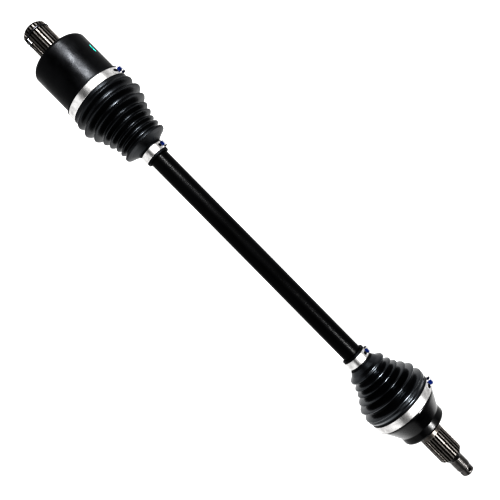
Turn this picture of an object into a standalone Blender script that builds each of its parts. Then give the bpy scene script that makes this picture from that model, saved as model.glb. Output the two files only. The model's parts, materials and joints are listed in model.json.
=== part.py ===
"""CV axle: a bar with a plunging ball joint at one end and a fixed ball joint at the other.

The axle lies along X with its wheel end towards +X and rests on its two boots.
Lengths are in millimetres here and become metres through MM.
"""

import math

import bmesh
import bpy
from mathutils import Matrix, Vector

MM = 0.001

# Rest height of the axis above the table: the radius of the largest boot lobes.
AXIS_HEIGHT = 44.4

# Overall ends of the axle along X.
INNER_TIP_X = -372.6
OUTER_TIP_X = 372.6

# Clearance between pieces that touch.
GAP = 0.3

# Joint centres.
INNER_CENTRE_X = -284.0
OUTER_CENTRE_X = 263.0

# Bar between the joints.
BAR_RADIUS = 12.4
RACE_SPLINE_TIP_R = 12.0
RACE_SPLINE_ROOT_R = 10.6
RACE_SPLINE_SLACK = 0.45
SPLINE_TEETH = 24
SPLINE_START = 0.2
SPLINE_SINK = 0.5
RACE_HALF_WIDTH = 11.0
BAR_END_OVERHANG = 15.5

# Rings on the bar at each race.
CIRCLIP_OFFSET = 12.9
CIRCLIP_R = 10.9
CIRCLIP_WIRE_R = 0.9
STOP_RING_OFFSET = 12.5
STOP_RING_WIDTH = 1.6
STOP_RING_IN_R = 9.6
STOP_RING_OUT_R = 13.4

# Balls. Both joints hold six, every 60 degrees.
BALL_COUNT = 6
BALL_FIRST_ANGLE = 30.0

# Inner joint: straight tracks, so that the balls, cage and race can slide in the cup.
INNER_BALL_R = 7.94
INNER_PITCH_R = 25.5
INNER_TRACK_R = 8.8
INNER_RACE_R = 23.3
INNER_CAGE_IN_R = 23.9
INNER_CAGE_OUT_R = 28.4
INNER_CAGE_HALF_WIDTH = 12.5
CUP_OUT_R = 38.3
CUP_BORE_R = 29.0
CUP_MOUTH_X = -254.8
CUP_BACK_X = -328.4
CUP_FLOOR_X = -317.0
CUP_CORNER_R = 4.6
WIRE_RING_X = -259.6
WIRE_RING_R = 29.4
WIRE_RING_WIRE_R = 1.1

# Inner splined stub.
INNER_STUB_TIP_R = 16.1
INNER_STUB_ROOT_R = 14.5
SNAP_RING_X = -364.0
SNAP_RING_R = 15.9
SNAP_RING_WIRE_R = 1.15

# Outer joint: tracks curved about the joint centre.
OUTER_BALL_R = 7.5
OUTER_PITCH_R = 25.0
OUTER_TRACK_R = 9.0
OUTER_RACE_R = 22.0
OUTER_CAGE_IN_R = 22.6
OUTER_CAGE_OUT_R = 27.5
OUTER_CAGE_HALF_WIDTH = 11.0
BELL_OUT_R = 40.0
BELL_CAVITY_R = 28.2
BELL_MOUTH_X = 252.0
BELL_CONE_X = 267.6
COLLAR_X = 285.6
COLLAR_R = 29.8
COLLAR_END_X = 297.0

# Outer seat, splined stub and cross-drilled tail.
SEAT_R = 15.2
SEAT_END_X = 305.9
OUTER_STUB_TIP_R = 15.2
OUTER_STUB_ROOT_R = 13.7
OUTER_STUB_END_X = 343.2
STUB_CHAMFER = 1.4
STUB_TO_TAIL = 4.6
TAIL_R = 9.0
TAIL_END_X = 363.8
PILOT_R = 8.1
COTTER_HOLE_X = 367.2
COTTER_HOLE_R = 2.1
COTTER_HOLE_ANGLES = (10.0, 100.0)

# Boots.
RUBBER = 1.8
CUFF_RUBBER = 1.6
CUFF_LIP = 0.9

# Clamps. The ears stand between +Y and +Z, clear of the table.
CLAMP_WIDTH = 10.0
CLAMP_THICK = 0.9
EAR_ANGLE = 45.0
EAR_WIDTH = 8.2
EAR_WALL = 1.1

INNER_BIG_CLAMP_X = -260.2
INNER_SMALL_CLAMP_X = -164.6
OUTER_SMALL_CLAMP_X = 181.2
OUTER_BIG_CLAMP_X = 257.9

# Facets round each kind of piece. The clamps have the boots' number.
STEPS_HOUSING = 32
STEPS_BAR = 24
STEPS_BOOT = 24
STEPS_INSIDE = 24
STEPS_WIRE = 6
STEPS_TRACK = 12


def new_collection(name):
    group = bpy.data.collections.new(name)
    bpy.context.scene.collection.children.link(group)
    return group


def new_material(name, colour, roughness, metallic):
    made = bpy.data.materials.new(name)
    made.use_nodes = True
    shader = made.node_tree.nodes["Principled BSDF"]
    shader.inputs["Base Color"].default_value = (*colour, 1.0)
    shader.inputs["Roughness"].default_value = roughness
    shader.inputs["Metallic"].default_value = metallic
    return made


def add_object(name, mesh, group):
    made = bpy.data.objects.new(name, mesh)
    group.objects.link(made)
    if group is cutters:
        made.hide_render = True
        made.display_type = "WIRE"
    return made


def turned(name, points, steps, closed, group, on_flats=False):
    """Turn a profile of (x, radius) points about the axle's axis.

    The profile runs from +X to -X along its outer side. A closed profile makes a ring.
    With on_flats, a flat faces down and the radius is that of the flats, not the corners.
    """
    mesh = bpy.data.meshes.new(name)
    shape = bmesh.new()
    half_step = math.pi / steps if on_flats else 0.0
    slant = math.tan(half_step)
    row = [shape.verts.new((x * MM, r * MM, r * slant * MM)) for x, r in points]
    for first, second in zip(row, row[1:]):
        shape.edges.new((first, second))
    if closed:
        shape.edges.new((row[-1], row[0]))
    shape.to_mesh(mesh)
    shape.free()
    made = add_object(name, mesh, group)
    screw = made.modifiers.new("turn", "SCREW")
    screw.axis = "X"
    screw.angle = math.tau
    screw.steps = steps
    screw.render_steps = steps
    screw.use_merge_vertices = True
    screw.merge_threshold = 0.00001
    return made


def ring(name, x_low, x_high, r_in, r_out, steps, group, on_flats=False):
    points = [(x_high, r_in), (x_high, r_out), (x_low, r_out), (x_low, r_in)]
    return turned(name, points, steps, True, group, on_flats)


def curve_solid(name, curve, matrix, group):
    """Turn a curve with a thickness into a plain closed mesh."""
    holder = bpy.data.objects.new(name + "_curve", curve)
    mesh = bpy.data.meshes.new_from_object(holder)
    mesh.name = name
    shape = bmesh.new()
    shape.from_mesh(mesh)
    bmesh.ops.remove_doubles(shape, verts=shape.verts, dist=0.000001)
    bmesh.ops.transform(shape, matrix=matrix, verts=shape.verts)
    bmesh.ops.recalc_face_normals(shape, faces=shape.faces)
    shape.to_mesh(mesh)
    shape.free()
    bpy.data.objects.remove(holder)
    return add_object(name, mesh, group)


def toothed_bar(name, x_low, x_high, corners, group):
    """A splined bar. Each tooth has the given corners: (radius, angle in tooth pitches)."""
    pitch = math.tau / SPLINE_TEETH
    curve = bpy.data.curves.new(name + "_outline", "CURVE")
    curve.dimensions = "2D"
    curve.fill_mode = "BOTH"
    curve.extrude = 0.5 * (x_high - x_low) * MM
    outline = curve.splines.new("POLY")
    outline.points.add(len(corners) * SPLINE_TEETH - 1)
    outline.use_cyclic_u = True
    for tooth in range(SPLINE_TEETH):
        for corner, (radius, turn) in enumerate(corners):
            angle = (tooth + turn + SPLINE_START) * pitch
            place = (radius * MM * math.cos(angle), radius * MM * math.sin(angle), 0.0, 1.0)
            outline.points[len(corners) * tooth + corner].co = place
    middle = 0.5 * (x_low + x_high) * MM
    along_x = Matrix.Translation((middle, 0.0, 0.0)) @ Matrix.Rotation(math.pi / 2, 4, "Y")
    return curve_solid(name, curve, along_x, group)


def square_teeth(tip_r, root_r):
    """Teeth of the visible stubs: a trapezoid with a flat tip, sunk into the core."""
    floor = root_r - SPLINE_SINK
    return ((floor, -0.36), (tip_r, -0.18), (tip_r, 0.18), (floor, 0.36))


def pointed_teeth(slack):
    """Fine serrations between the bar and its races.

    The slack moves them outwards, for a race's bore.
    """
    return ((RACE_SPLINE_ROOT_R + slack, -0.5), (RACE_SPLINE_TIP_R + slack, 0.0))


def arc_curve(name, radius, wire_r, start_deg, end_deg, points, sides):
    """A round wire bent to an arc in the local XY plane."""
    curve = bpy.data.curves.new(name + "_path", "CURVE")
    curve.dimensions = "3D"
    curve.bevel_depth = wire_r * MM
    curve.bevel_resolution = max(0, sides // 2 - 2)
    curve.use_fill_caps = True
    path = curve.splines.new("POLY")
    path.points.add(points - 1)
    for index in range(points):
        angle = math.radians(start_deg + (end_deg - start_deg) * index / (points - 1))
        place = (radius * MM * math.cos(angle), radius * MM * math.sin(angle), 0.0, 1.0)
        path.points[index].co = place
    return curve


def open_ring(name, x, radius, wire_r, gap_deg, gap_middle_deg, group):
    """A wire ring about the axle's axis with a gap in it."""
    start = gap_middle_deg + 0.5 * gap_deg
    curve = arc_curve(name, radius, wire_r, start, start + 360.0 - gap_deg, 19, STEPS_WIRE)
    to_axis = Matrix.Rotation(math.pi / 2, 4, "Z") @ Matrix.Rotation(math.pi / 2, 4, "X")
    matrix = Matrix.Translation((x * MM, 0.0, 0.0)) @ to_axis
    return curve_solid(name, curve, matrix, group)


def ball_angles():
    return [BALL_FIRST_ANGLE + 360.0 * index / BALL_COUNT for index in range(BALL_COUNT)]


def round_the_axis(degrees):
    return Matrix.Rotation(math.radians(degrees), 4, "X")


def repeat_round(name, source, group):
    """Join copies of a piece, one at each ball's angle, into one object."""
    mesh = bpy.data.meshes.new(name)
    shape = bmesh.new()
    for angle in ball_angles():
        start = len(shape.verts)
        shape.from_mesh(source)
        shape.verts.ensure_lookup_table()
        bmesh.ops.transform(shape, matrix=round_the_axis(angle), verts=shape.verts[start:])
    shape.to_mesh(mesh)
    shape.free()
    return add_object(name, mesh, group)


def straight_tracks(name, x_low, x_high):
    """Six round bars along X, one for each ball of the inner joint."""
    shape = bmesh.new()
    middle = 0.5 * (x_low + x_high)
    place = Matrix.Translation((middle * MM, INNER_PITCH_R * MM, 0.0))
    bmesh.ops.create_cone(
        shape,
        cap_ends=True,
        segments=STEPS_TRACK,
        radius1=INNER_TRACK_R * MM,
        radius2=INNER_TRACK_R * MM,
        depth=(x_high - x_low) * MM,
        matrix=place @ Matrix.Rotation(math.pi / 2, 4, "Y"),
    )
    source = bpy.data.meshes.new(name + "_one")
    shape.to_mesh(source)
    shape.free()
    return repeat_round(name, source, cutters)


def curved_tracks(name):
    """Six bent bars about the outer joint's centre, one for each of its balls."""
    curve = arc_curve(name, OUTER_PITCH_R, OUTER_TRACK_R, 54.0, 132.0, 7, STEPS_TRACK)
    centre = Matrix.Translation((OUTER_CENTRE_X * MM, 0.0, 0.0))
    single = curve_solid(name + "_one", curve, centre, cutters)
    made = repeat_round(name, single.data, cutters)
    bpy.data.objects.remove(single)
    return made


def cut_windows(name, centre_x, pitch_r, ball_r):
    """Six blocks, one for each ball, that open the windows of a cage."""
    shape = bmesh.new()
    size = (2 * (ball_r + GAP), 14.0, 2 * (ball_r + 2 * GAP))
    place = Matrix.Translation((centre_x * MM, pitch_r * MM, 0.0))
    scale = Matrix.Diagonal((size[0] * MM, size[1] * MM, size[2] * MM, 1.0))
    bmesh.ops.create_cube(shape, size=1.0, matrix=place @ scale)
    source = bpy.data.meshes.new(name + "_one")
    shape.to_mesh(source)
    shape.free()
    return repeat_round(name, source, cutters)


def arc_points(centre_x, radius, x_from, x_to, count):
    """Points of a circle about the joint centre between two places along X."""
    start = math.acos((x_from - centre_x) / radius)
    end = math.acos((x_to - centre_x) / radius)
    points = []
    for index in range(count):
        angle = start + (end - start) * index / (count - 1)
        points.append((centre_x + radius * math.cos(angle), radius * math.sin(angle)))
    return points


def boolean(target, tool, operation):
    step = target.modifiers.new(operation.lower(), "BOOLEAN")
    step.operation = operation
    step.solver = "EXACT"
    step.object = tool


def neck_grooves(centre, side, neck):
    """Corners of the two ring grooves in the neck, one on each side of the race."""
    corners = []
    for offset, half, floor in (
        (CIRCLIP_OFFSET, 1.2, CIRCLIP_R - CIRCLIP_WIRE_R - GAP),
        (-STOP_RING_OFFSET, 1.1, STOP_RING_IN_R - GAP),
    ):
        middle = centre + side * offset
        corners += [(middle + half, neck), (middle + half - 0.01, floor)]
        corners += [(middle - half + 0.01, floor), (middle - half, neck)]
    return corners


def axle_bar():
    """The bar, with a splined neck and two ring grooves at each end."""
    inner_end = INNER_CENTRE_X - BAR_END_OVERHANG
    outer_end = OUTER_CENTRE_X + BAR_END_OVERHANG
    neck = RACE_SPLINE_ROOT_R + 0.2
    inner_shoulder = INNER_CENTRE_X + 22.0
    outer_shoulder = OUTER_CENTRE_X - 22.0
    outer_grooves = neck_grooves(OUTER_CENTRE_X, 1.0, neck)
    inner_grooves = neck_grooves(INNER_CENTRE_X, -1.0, neck)
    points = [(outer_end, 0.0), (outer_end, neck - 1.2), (outer_end - 1.2, neck)]
    points += sorted(outer_grooves, key=lambda point: -point[0])
    points += [(outer_shoulder, neck), (outer_shoulder - 4.0, BAR_RADIUS)]
    points += [(inner_shoulder + 4.0, BAR_RADIUS), (inner_shoulder, neck)]
    points += sorted(inner_grooves, key=lambda point: -point[0])
    points += [(inner_end + 1.2, neck), (inner_end, neck - 1.2), (inner_end, 0.0)]
    made = turned("axle_shaft", points, STEPS_BAR, False, parts)
    for side, centre in ((-1.0, INNER_CENTRE_X), (1.0, OUTER_CENTRE_X)):
        label = "inner" if side < 0 else "outer"
        low = centre - RACE_HALF_WIDTH
        high = centre + RACE_HALF_WIDTH
        teeth = toothed_bar(label + "_race_spline", low, high, pointed_teeth(0.0), cutters)
        boolean(made, teeth, "UNION")
    return made


def bar_rings(label, centre, side):
    """The wire circlip at the end of the bar and the stop ring behind the race."""
    clip_x = centre + side * CIRCLIP_OFFSET
    open_ring(label + "_race_circlip", clip_x, CIRCLIP_R, CIRCLIP_WIRE_R, 40.0, 90.0, parts)
    stop_x = centre - side * STOP_RING_OFFSET
    low = stop_x - 0.5 * STOP_RING_WIDTH
    high = stop_x + 0.5 * STOP_RING_WIDTH
    name = label + "_race_stop_ring"
    ring(name, low, high, STOP_RING_IN_R, STOP_RING_OUT_R, STEPS_INSIDE, parts)


def race(label, centre, radius, tracks):
    """Inner race: a slice of a ball with tracks outside and an internal spline."""
    outside = arc_points(centre, radius, centre + RACE_HALF_WIDTH, centre - RACE_HALF_WIDTH, 5)
    points = [(centre + RACE_HALF_WIDTH, 0.0)] + outside + [(centre - RACE_HALF_WIDTH, 0.0)]
    made = turned(label + "_race", points, STEPS_INSIDE, False, parts)
    boolean(made, tracks, "DIFFERENCE")
    bore = toothed_bar(
        label + "_race_bore",
        centre - RACE_HALF_WIDTH - 2.0,
        centre + RACE_HALF_WIDTH + 2.0,
        pointed_teeth(RACE_SPLINE_SLACK),
        cutters,
    )
    boolean(made, bore, "DIFFERENCE")
    return made


def cage(label, centre, r_in, r_out, half_width, pitch_r, ball_r):
    """A cage: a band of a hollow ball with one window for each ball."""
    low = centre - half_width
    high = centre + half_width
    outside = arc_points(centre, r_out, high, low, 5)
    inside = arc_points(centre, r_in, low, high, 5)
    made = turned(label + "_cage", outside + inside, STEPS_INSIDE, True, parts)
    boolean(made, cut_windows(label + "_windows", centre, pitch_r, ball_r), "DIFFERENCE")
    return made


def balls(label, centre, pitch_r, ball_r):
    for index, angle in enumerate(ball_angles()):
        name = "{}_ball_{}".format(label, index + 1)
        mesh = bpy.data.meshes.new(name)
        shape = bmesh.new()
        spot = round_the_axis(angle) @ Vector((0.0, pitch_r * MM, 0.0))
        place = Matrix.Translation((centre * MM, spot.y, spot.z))
        bmesh.ops.create_uvsphere(
            shape, u_segments=12, v_segments=7, radius=ball_r * MM, matrix=place
        )
        shape.to_mesh(mesh)
        shape.free()
        add_object(name, mesh, parts)


def inner_housing(tracks):
    """Cup of the plunging joint with its splined stub."""
    corner = CUP_CORNER_R
    slope = 0.3 * corner
    points = [
        (CUP_FLOOR_X, 0.0),
        (CUP_FLOOR_X, CUP_BORE_R - 4.0),
        (CUP_FLOOR_X + 4.0, CUP_BORE_R),
        (CUP_MOUTH_X - 1.6, CUP_BORE_R),
        (CUP_MOUTH_X, CUP_BORE_R + 1.6),
        (CUP_MOUTH_X, CUP_OUT_R - 0.8),
        (CUP_MOUTH_X - 0.8, CUP_OUT_R),
        (CUP_BACK_X + corner, CUP_OUT_R),
        (CUP_BACK_X + slope, CUP_OUT_R - slope),
        (CUP_BACK_X, CUP_OUT_R - corner),
        (CUP_BACK_X, INNER_STUB_ROOT_R + 1.2),
        (CUP_BACK_X - 1.2, INNER_STUB_ROOT_R),
        (INNER_TIP_X + 2.4, INNER_STUB_ROOT_R),
        (INNER_TIP_X, INNER_STUB_ROOT_R - 2.0),
        (INNER_TIP_X, 0.0),
    ]
    made = turned("inner_housing", points, STEPS_HOUSING, False, parts)
    teeth = toothed_bar(
        "inner_stub_spline",
        INNER_TIP_X + 2.6,
        CUP_BACK_X + 2.0,
        square_teeth(INNER_STUB_TIP_R, INNER_STUB_ROOT_R),
        cutters,
    )
    boolean(made, teeth, "UNION")
    low = SNAP_RING_X - SNAP_RING_WIRE_R - 0.35
    high = SNAP_RING_X + SNAP_RING_WIRE_R + 0.35
    floor = SNAP_RING_R - SNAP_RING_WIRE_R - 0.5
    groove = ring("snap_ring_groove", low, high, floor, 18.0, STEPS_HOUSING, cutters)
    boolean(made, groove, "DIFFERENCE")
    boolean(made, tracks, "DIFFERENCE")
    low = WIRE_RING_X - WIRE_RING_WIRE_R - 0.35
    high = WIRE_RING_X + WIRE_RING_WIRE_R + 0.35
    outside = WIRE_RING_R + WIRE_RING_WIRE_R + 0.5
    groove = ring("wire_ring_groove", low, high, 27.0, outside, STEPS_HOUSING, cutters)
    boolean(made, groove, "DIFFERENCE")
    return made


def outer_housing(tracks):
    """Bell of the fixed joint with its collar, seat, splined stub and drilled tail."""
    cavity_end = OUTER_CENTRE_X + BELL_CAVITY_R
    cavity = arc_points(OUTER_CENTRE_X, BELL_CAVITY_R, BELL_MOUTH_X + 1.0, cavity_end - 0.001, 7)
    points = [
        (OUTER_TIP_X, 0.0),
        (OUTER_TIP_X, PILOT_R - 1.4),
        (OUTER_TIP_X - 1.4, PILOT_R),
        (TAIL_END_X, PILOT_R),
        (TAIL_END_X - 0.9, TAIL_R),
        (OUTER_STUB_END_X + STUB_TO_TAIL, TAIL_R),
        (OUTER_STUB_END_X, OUTER_STUB_ROOT_R - STUB_CHAMFER),
        (OUTER_STUB_END_X - STUB_CHAMFER, OUTER_STUB_ROOT_R),
        (SEAT_END_X + 1.4, OUTER_STUB_ROOT_R),
        (SEAT_END_X, SEAT_R),
        (COLLAR_END_X, SEAT_R),
        (COLLAR_END_X, COLLAR_R - 2.8),
        (COLLAR_END_X - 0.9, COLLAR_R - 0.9),
        (COLLAR_END_X - 2.8, COLLAR_R),
        (COLLAR_X, COLLAR_R),
        (BELL_CONE_X, BELL_OUT_R - 1.0),
        (BELL_CONE_X - 1.0, BELL_OUT_R),
        (BELL_MOUTH_X + 0.8, BELL_OUT_R),
        (BELL_MOUTH_X, BELL_OUT_R - 0.8),
        (BELL_MOUTH_X, BELL_CAVITY_R + 2.0),
    ]
    points += cavity[:-1]
    points.append((cavity_end, 0.0))
    made = turned("outer_housing", points, STEPS_HOUSING, False, parts)
    boolean(made, tracks, "DIFFERENCE")
    teeth = toothed_bar(
        "outer_stub_spline",
        SEAT_END_X + 0.7,
        OUTER_STUB_END_X - 1.6,
        square_teeth(OUTER_STUB_TIP_R, OUTER_STUB_ROOT_R),
        cutters,
    )
    boolean(made, teeth, "UNION")
    for index, angle in enumerate(COTTER_HOLE_ANGLES):
        name = "cotter_drill_{}".format(index + 1)
        mesh = bpy.data.meshes.new(name)
        shape = bmesh.new()
        across = Matrix.Rotation(math.pi / 2, 4, "X")
        place = Matrix.Translation((COTTER_HOLE_X * MM, 0.0, 0.0))
        bmesh.ops.create_cone(
            shape,
            cap_ends=True,
            segments=12,
            radius1=COTTER_HOLE_R * MM,
            radius2=COTTER_HOLE_R * MM,
            depth=24.0 * MM,
            matrix=place @ round_the_axis(angle) @ across,
        )
        shape.to_mesh(mesh)
        shape.free()
        boolean(made, add_object(name, mesh, cutters), "DIFFERENCE")
    return made


def cuff(seat_r, clamp_x, rim_far, rim_near, side):
    """Outside of a boot's cuff from its open end inwards: a lip, the clamp seat, a lip.

    side is the direction from the open end of the cuff towards the bellows.
    """
    half = 0.5 * CLAMP_WIDTH + GAP
    flat = seat_r + GAP + CUFF_RUBBER
    lip = flat + CUFF_LIP
    return [
        (clamp_x - side * (half + rim_far), flat),
        (clamp_x - side * (half + rim_far - 0.5), lip),
        (clamp_x - side * half, lip),
        (clamp_x - side * (half - 0.02), flat),
        (clamp_x + side * (half - 0.02), flat),
        (clamp_x + side * half, lip),
        (clamp_x + side * (half + rim_near), lip),
    ]


def bellows(peaks, floor_of):
    """Outside of the bellows: each lobe's peak, with the valley between two lobes."""
    points = []
    for index, (x, radius) in enumerate(peaks):
        points.append((x, radius))
        if index + 1 < len(peaks):
            next_x, next_r = peaks[index + 1]
            points.append((0.5 * (x + next_x), min(radius, next_r) - floor_of(radius)))
    return points


def boot(name, outline, bores):
    """A boot: its outside, and an inside one wall thickness below it."""
    low_x, low_bore, low_stop, high_stop, high_bore, high_x = bores
    inside = [(high_x, high_bore), (high_stop, high_bore)]
    middle = [point for point in outline if low_stop < point[0] < high_stop]
    middle = [point for point in middle if point[1] - RUBBER > min(low_bore, high_bore) + 0.2]
    for x, radius in sorted(middle, reverse=True):
        inside.append((x, radius - RUBBER))
    inside += [(low_stop, low_bore), (low_x, low_bore)]
    outside = sorted(outline, reverse=True)
    points = outside + inside[::-1]
    return turned(name, points, STEPS_BOOT, True, parts, on_flats=True)


INNER_LOBES = [
    (-247.8, 43.4),
    (-235.2, 44.4),
    (-223.5, 40.7),
    (-213.5, 35.6),
    (-205.2, 33.2),
    (-197.0, 30.2),
    (-189.3, 30.0),
    (-181.3, 30.2),
]

OUTER_LOBES = [
    (199.0, 25.6),
    (208.2, 28.1),
    (215.4, 31.3),
    (223.4, 36.8),
    (231.8, 42.2),
    (245.0, 44.4),
]


def valley_depth(radius):
    return 4.8 + 0.09 * (radius - 25.0)


def inner_boot():
    large = cuff(CUP_OUT_R, INNER_BIG_CLAMP_X, 2.0, 1.6, 1.0)
    small = cuff(BAR_RADIUS, INNER_SMALL_CLAMP_X, 2.6, 1.0, -1.0)
    outline = large + [(-251.4, 40.2)] + bellows(INNER_LOBES, valley_depth) + small
    bores = (
        large[0][0],
        CUP_OUT_R + GAP,
        CUP_MOUTH_X + 1.0,
        INNER_SMALL_CLAMP_X - 7.0,
        BAR_RADIUS + GAP,
        small[0][0],
    )
    return boot("inner_boot", outline, bores)


def outer_boot():
    small = cuff(BAR_RADIUS, OUTER_SMALL_CLAMP_X, 2.6, 1.0, 1.0)
    large = cuff(BELL_OUT_R, OUTER_BIG_CLAMP_X, 0.6, 1.4, -1.0)
    outline = small + bellows(OUTER_LOBES, valley_depth) + [(249.4, 41.8)] + large
    bores = (
        small[0][0],
        BAR_RADIUS + GAP,
        OUTER_SMALL_CLAMP_X + 7.0,
        BELL_MOUTH_X - 1.0,
        BELL_OUT_R + GAP,
        large[0][0],
    )
    return boot("outer_boot", outline, bores)


def clamp(name, x, seat_r, ear_reach):
    """A band clamp with its pinched ear."""
    r_in = seat_r + 2 * GAP + CUFF_RUBBER
    r_out = r_in + CLAMP_THICK
    half = 0.5 * CLAMP_WIDTH
    made = ring(name, x - half, x + half, r_in, r_out, STEPS_BOOT, parts, on_flats=True)
    mesh = bpy.data.meshes.new(name + "_ear")
    shape = bmesh.new()
    height = ear_reach + 0.6
    middle = r_out + 0.5 * height - 0.6
    place = round_the_axis(EAR_ANGLE) @ Matrix.Translation((x * MM, middle * MM, 0.0))
    scale = Matrix.Diagonal((EAR_WIDTH * MM, height * MM, 2.1 * ear_reach * MM, 1.0))
    bmesh.ops.create_cube(shape, size=1.0, matrix=place @ scale)
    shape.to_mesh(mesh)
    shape.free()
    ear = add_object(name + "_ear", mesh, cutters)
    mesh = bpy.data.meshes.new(name + "_eye")
    shape = bmesh.new()
    hole = (2.0 * EAR_WIDTH, ear_reach - EAR_WALL, 2.1 * ear_reach - 2 * EAR_WALL)
    middle = r_out + 0.5 * (ear_reach - EAR_WALL) + 0.05
    place = round_the_axis(EAR_ANGLE) @ Matrix.Translation((x * MM, middle * MM, 0.0))
    scale = Matrix.Diagonal((hole[0] * MM, hole[1] * MM, hole[2] * MM, 1.0))
    bmesh.ops.create_cube(shape, size=1.0, matrix=place @ scale)
    shape.to_mesh(mesh)
    shape.free()
    eye = add_object(name + "_eye", mesh, cutters)
    boolean(ear, eye, "DIFFERENCE")
    boolean(made, ear, "UNION")
    return made


def weld(mesh):
    """Close up corners that meet at one point and drop faces without an area."""
    shape = bmesh.new()
    shape.from_mesh(mesh)
    bmesh.ops.remove_doubles(shape, verts=shape.verts, dist=0.000002)
    bmesh.ops.dissolve_degenerate(shape, edges=shape.edges, dist=0.000002)
    shape.to_mesh(mesh)
    shape.free()


def finish_pieces():
    """Fix each piece's shape, lift it to its rest height and give it its material."""
    bpy.context.view_layer.update()
    depsgraph = bpy.context.evaluated_depsgraph_get()
    lift = Matrix.Translation((0.0, 0.0, AXIS_HEIGHT * MM))
    shaped = {}
    for piece in parts.objects:
        shaped[piece.name] = bpy.data.meshes.new_from_object(piece.evaluated_get(depsgraph))
    for piece in parts.objects:
        mesh = shaped[piece.name]
        piece.modifiers.clear()
        weld(mesh)
        mesh.transform(lift)
        mesh.materials.clear()
        mesh.materials.append(material_of(piece.name))
        mesh.shade_smooth()
        mesh.set_sharp_from_angle(angle=math.radians(32.0))
        piece.data = mesh
        mesh.name = piece.name


def material_of(name):
    for words, made in materials:
        if any(word in name for word in words):
            return made
    return materials[-1][1]


for leftover in list(bpy.data.objects):
    bpy.data.objects.remove(leftover)

parts = new_collection("cv_axle")
cutters = new_collection("cutters")

wire_words = ("snap_ring", "wire_ring", "circlip", "stop")
materials = [
    (("clamp",), new_material("clamp_steel", (0.72, 0.73, 0.74), 0.22, 1.0)),
    (("boot",), new_material("boot_rubber", (0.012, 0.012, 0.014), 0.42, 0.0)),
    (wire_words, new_material("spring_steel", (0.10, 0.10, 0.11), 0.35, 1.0)),
    (("ball",), new_material("ball_steel", (0.62, 0.63, 0.65), 0.12, 1.0)),
    (("cage", "race"), new_material("ground_steel", (0.42, 0.42, 0.43), 0.3, 1.0)),
    (("inner_housing",), new_material("cup_steel", (0.03, 0.03, 0.032), 0.4, 0.6)),
    (("outer_housing",), new_material("bell_steel", (0.03, 0.03, 0.032), 0.35, 0.6)),
    (("axle_shaft",), new_material("bar_paint", (0.01, 0.01, 0.011), 0.25, 0.2)),
]

inner_tracks = straight_tracks("inner_tracks", CUP_FLOOR_X + 6.0, CUP_MOUTH_X + 6.0)
outer_tracks = curved_tracks("outer_tracks")

axle_bar()
for joint_label, joint_centre, joint_side in (
    ("inner", INNER_CENTRE_X, -1.0),
    ("outer", OUTER_CENTRE_X, 1.0),
):
    bar_rings(joint_label, joint_centre, joint_side)

race("inner", INNER_CENTRE_X, INNER_RACE_R, inner_tracks)
race("outer", OUTER_CENTRE_X, OUTER_RACE_R, outer_tracks)
cage(
    "inner",
    INNER_CENTRE_X,
    INNER_CAGE_IN_R,
    INNER_CAGE_OUT_R,
    INNER_CAGE_HALF_WIDTH,
    INNER_PITCH_R,
    INNER_BALL_R,
)
cage(
    "outer",
    OUTER_CENTRE_X,
    OUTER_CAGE_IN_R,
    OUTER_CAGE_OUT_R,
    OUTER_CAGE_HALF_WIDTH,
    OUTER_PITCH_R,
    OUTER_BALL_R,
)
balls("inner", INNER_CENTRE_X, INNER_PITCH_R, INNER_BALL_R)
balls("outer", OUTER_CENTRE_X, OUTER_PITCH_R, OUTER_BALL_R)

inner_housing(inner_tracks)
open_ring("inner_stub_snap_ring", SNAP_RING_X, SNAP_RING_R, SNAP_RING_WIRE_R, 20.0, 176.0, parts)
open_ring("inner_wire_ring", WIRE_RING_X, WIRE_RING_R, WIRE_RING_WIRE_R, 14.0, 60.0, parts)
outer_housing(outer_tracks)

inner_boot()
outer_boot()
clamp("inner_boot_large_clamp", INNER_BIG_CLAMP_X, CUP_OUT_R, 4.2)
clamp("inner_boot_small_clamp", INNER_SMALL_CLAMP_X, BAR_RADIUS, 3.4)
clamp("outer_boot_small_clamp", OUTER_SMALL_CLAMP_X, BAR_RADIUS, 3.4)
clamp("outer_boot_large_clamp", OUTER_BIG_CLAMP_X, BELL_OUT_R, 4.2)

finish_pieces()
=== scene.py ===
"""Looks of the cv axle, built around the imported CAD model.

The axle lies along X with its wheel end towards +X. Lengths are in millimetres in the tables
below and become metres through MM. Angles round the axis run from +Y towards +Z.
"""

import json
import math

import bmesh
import bpy
import numpy as np
from mathutils import Matrix, Vector

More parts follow.
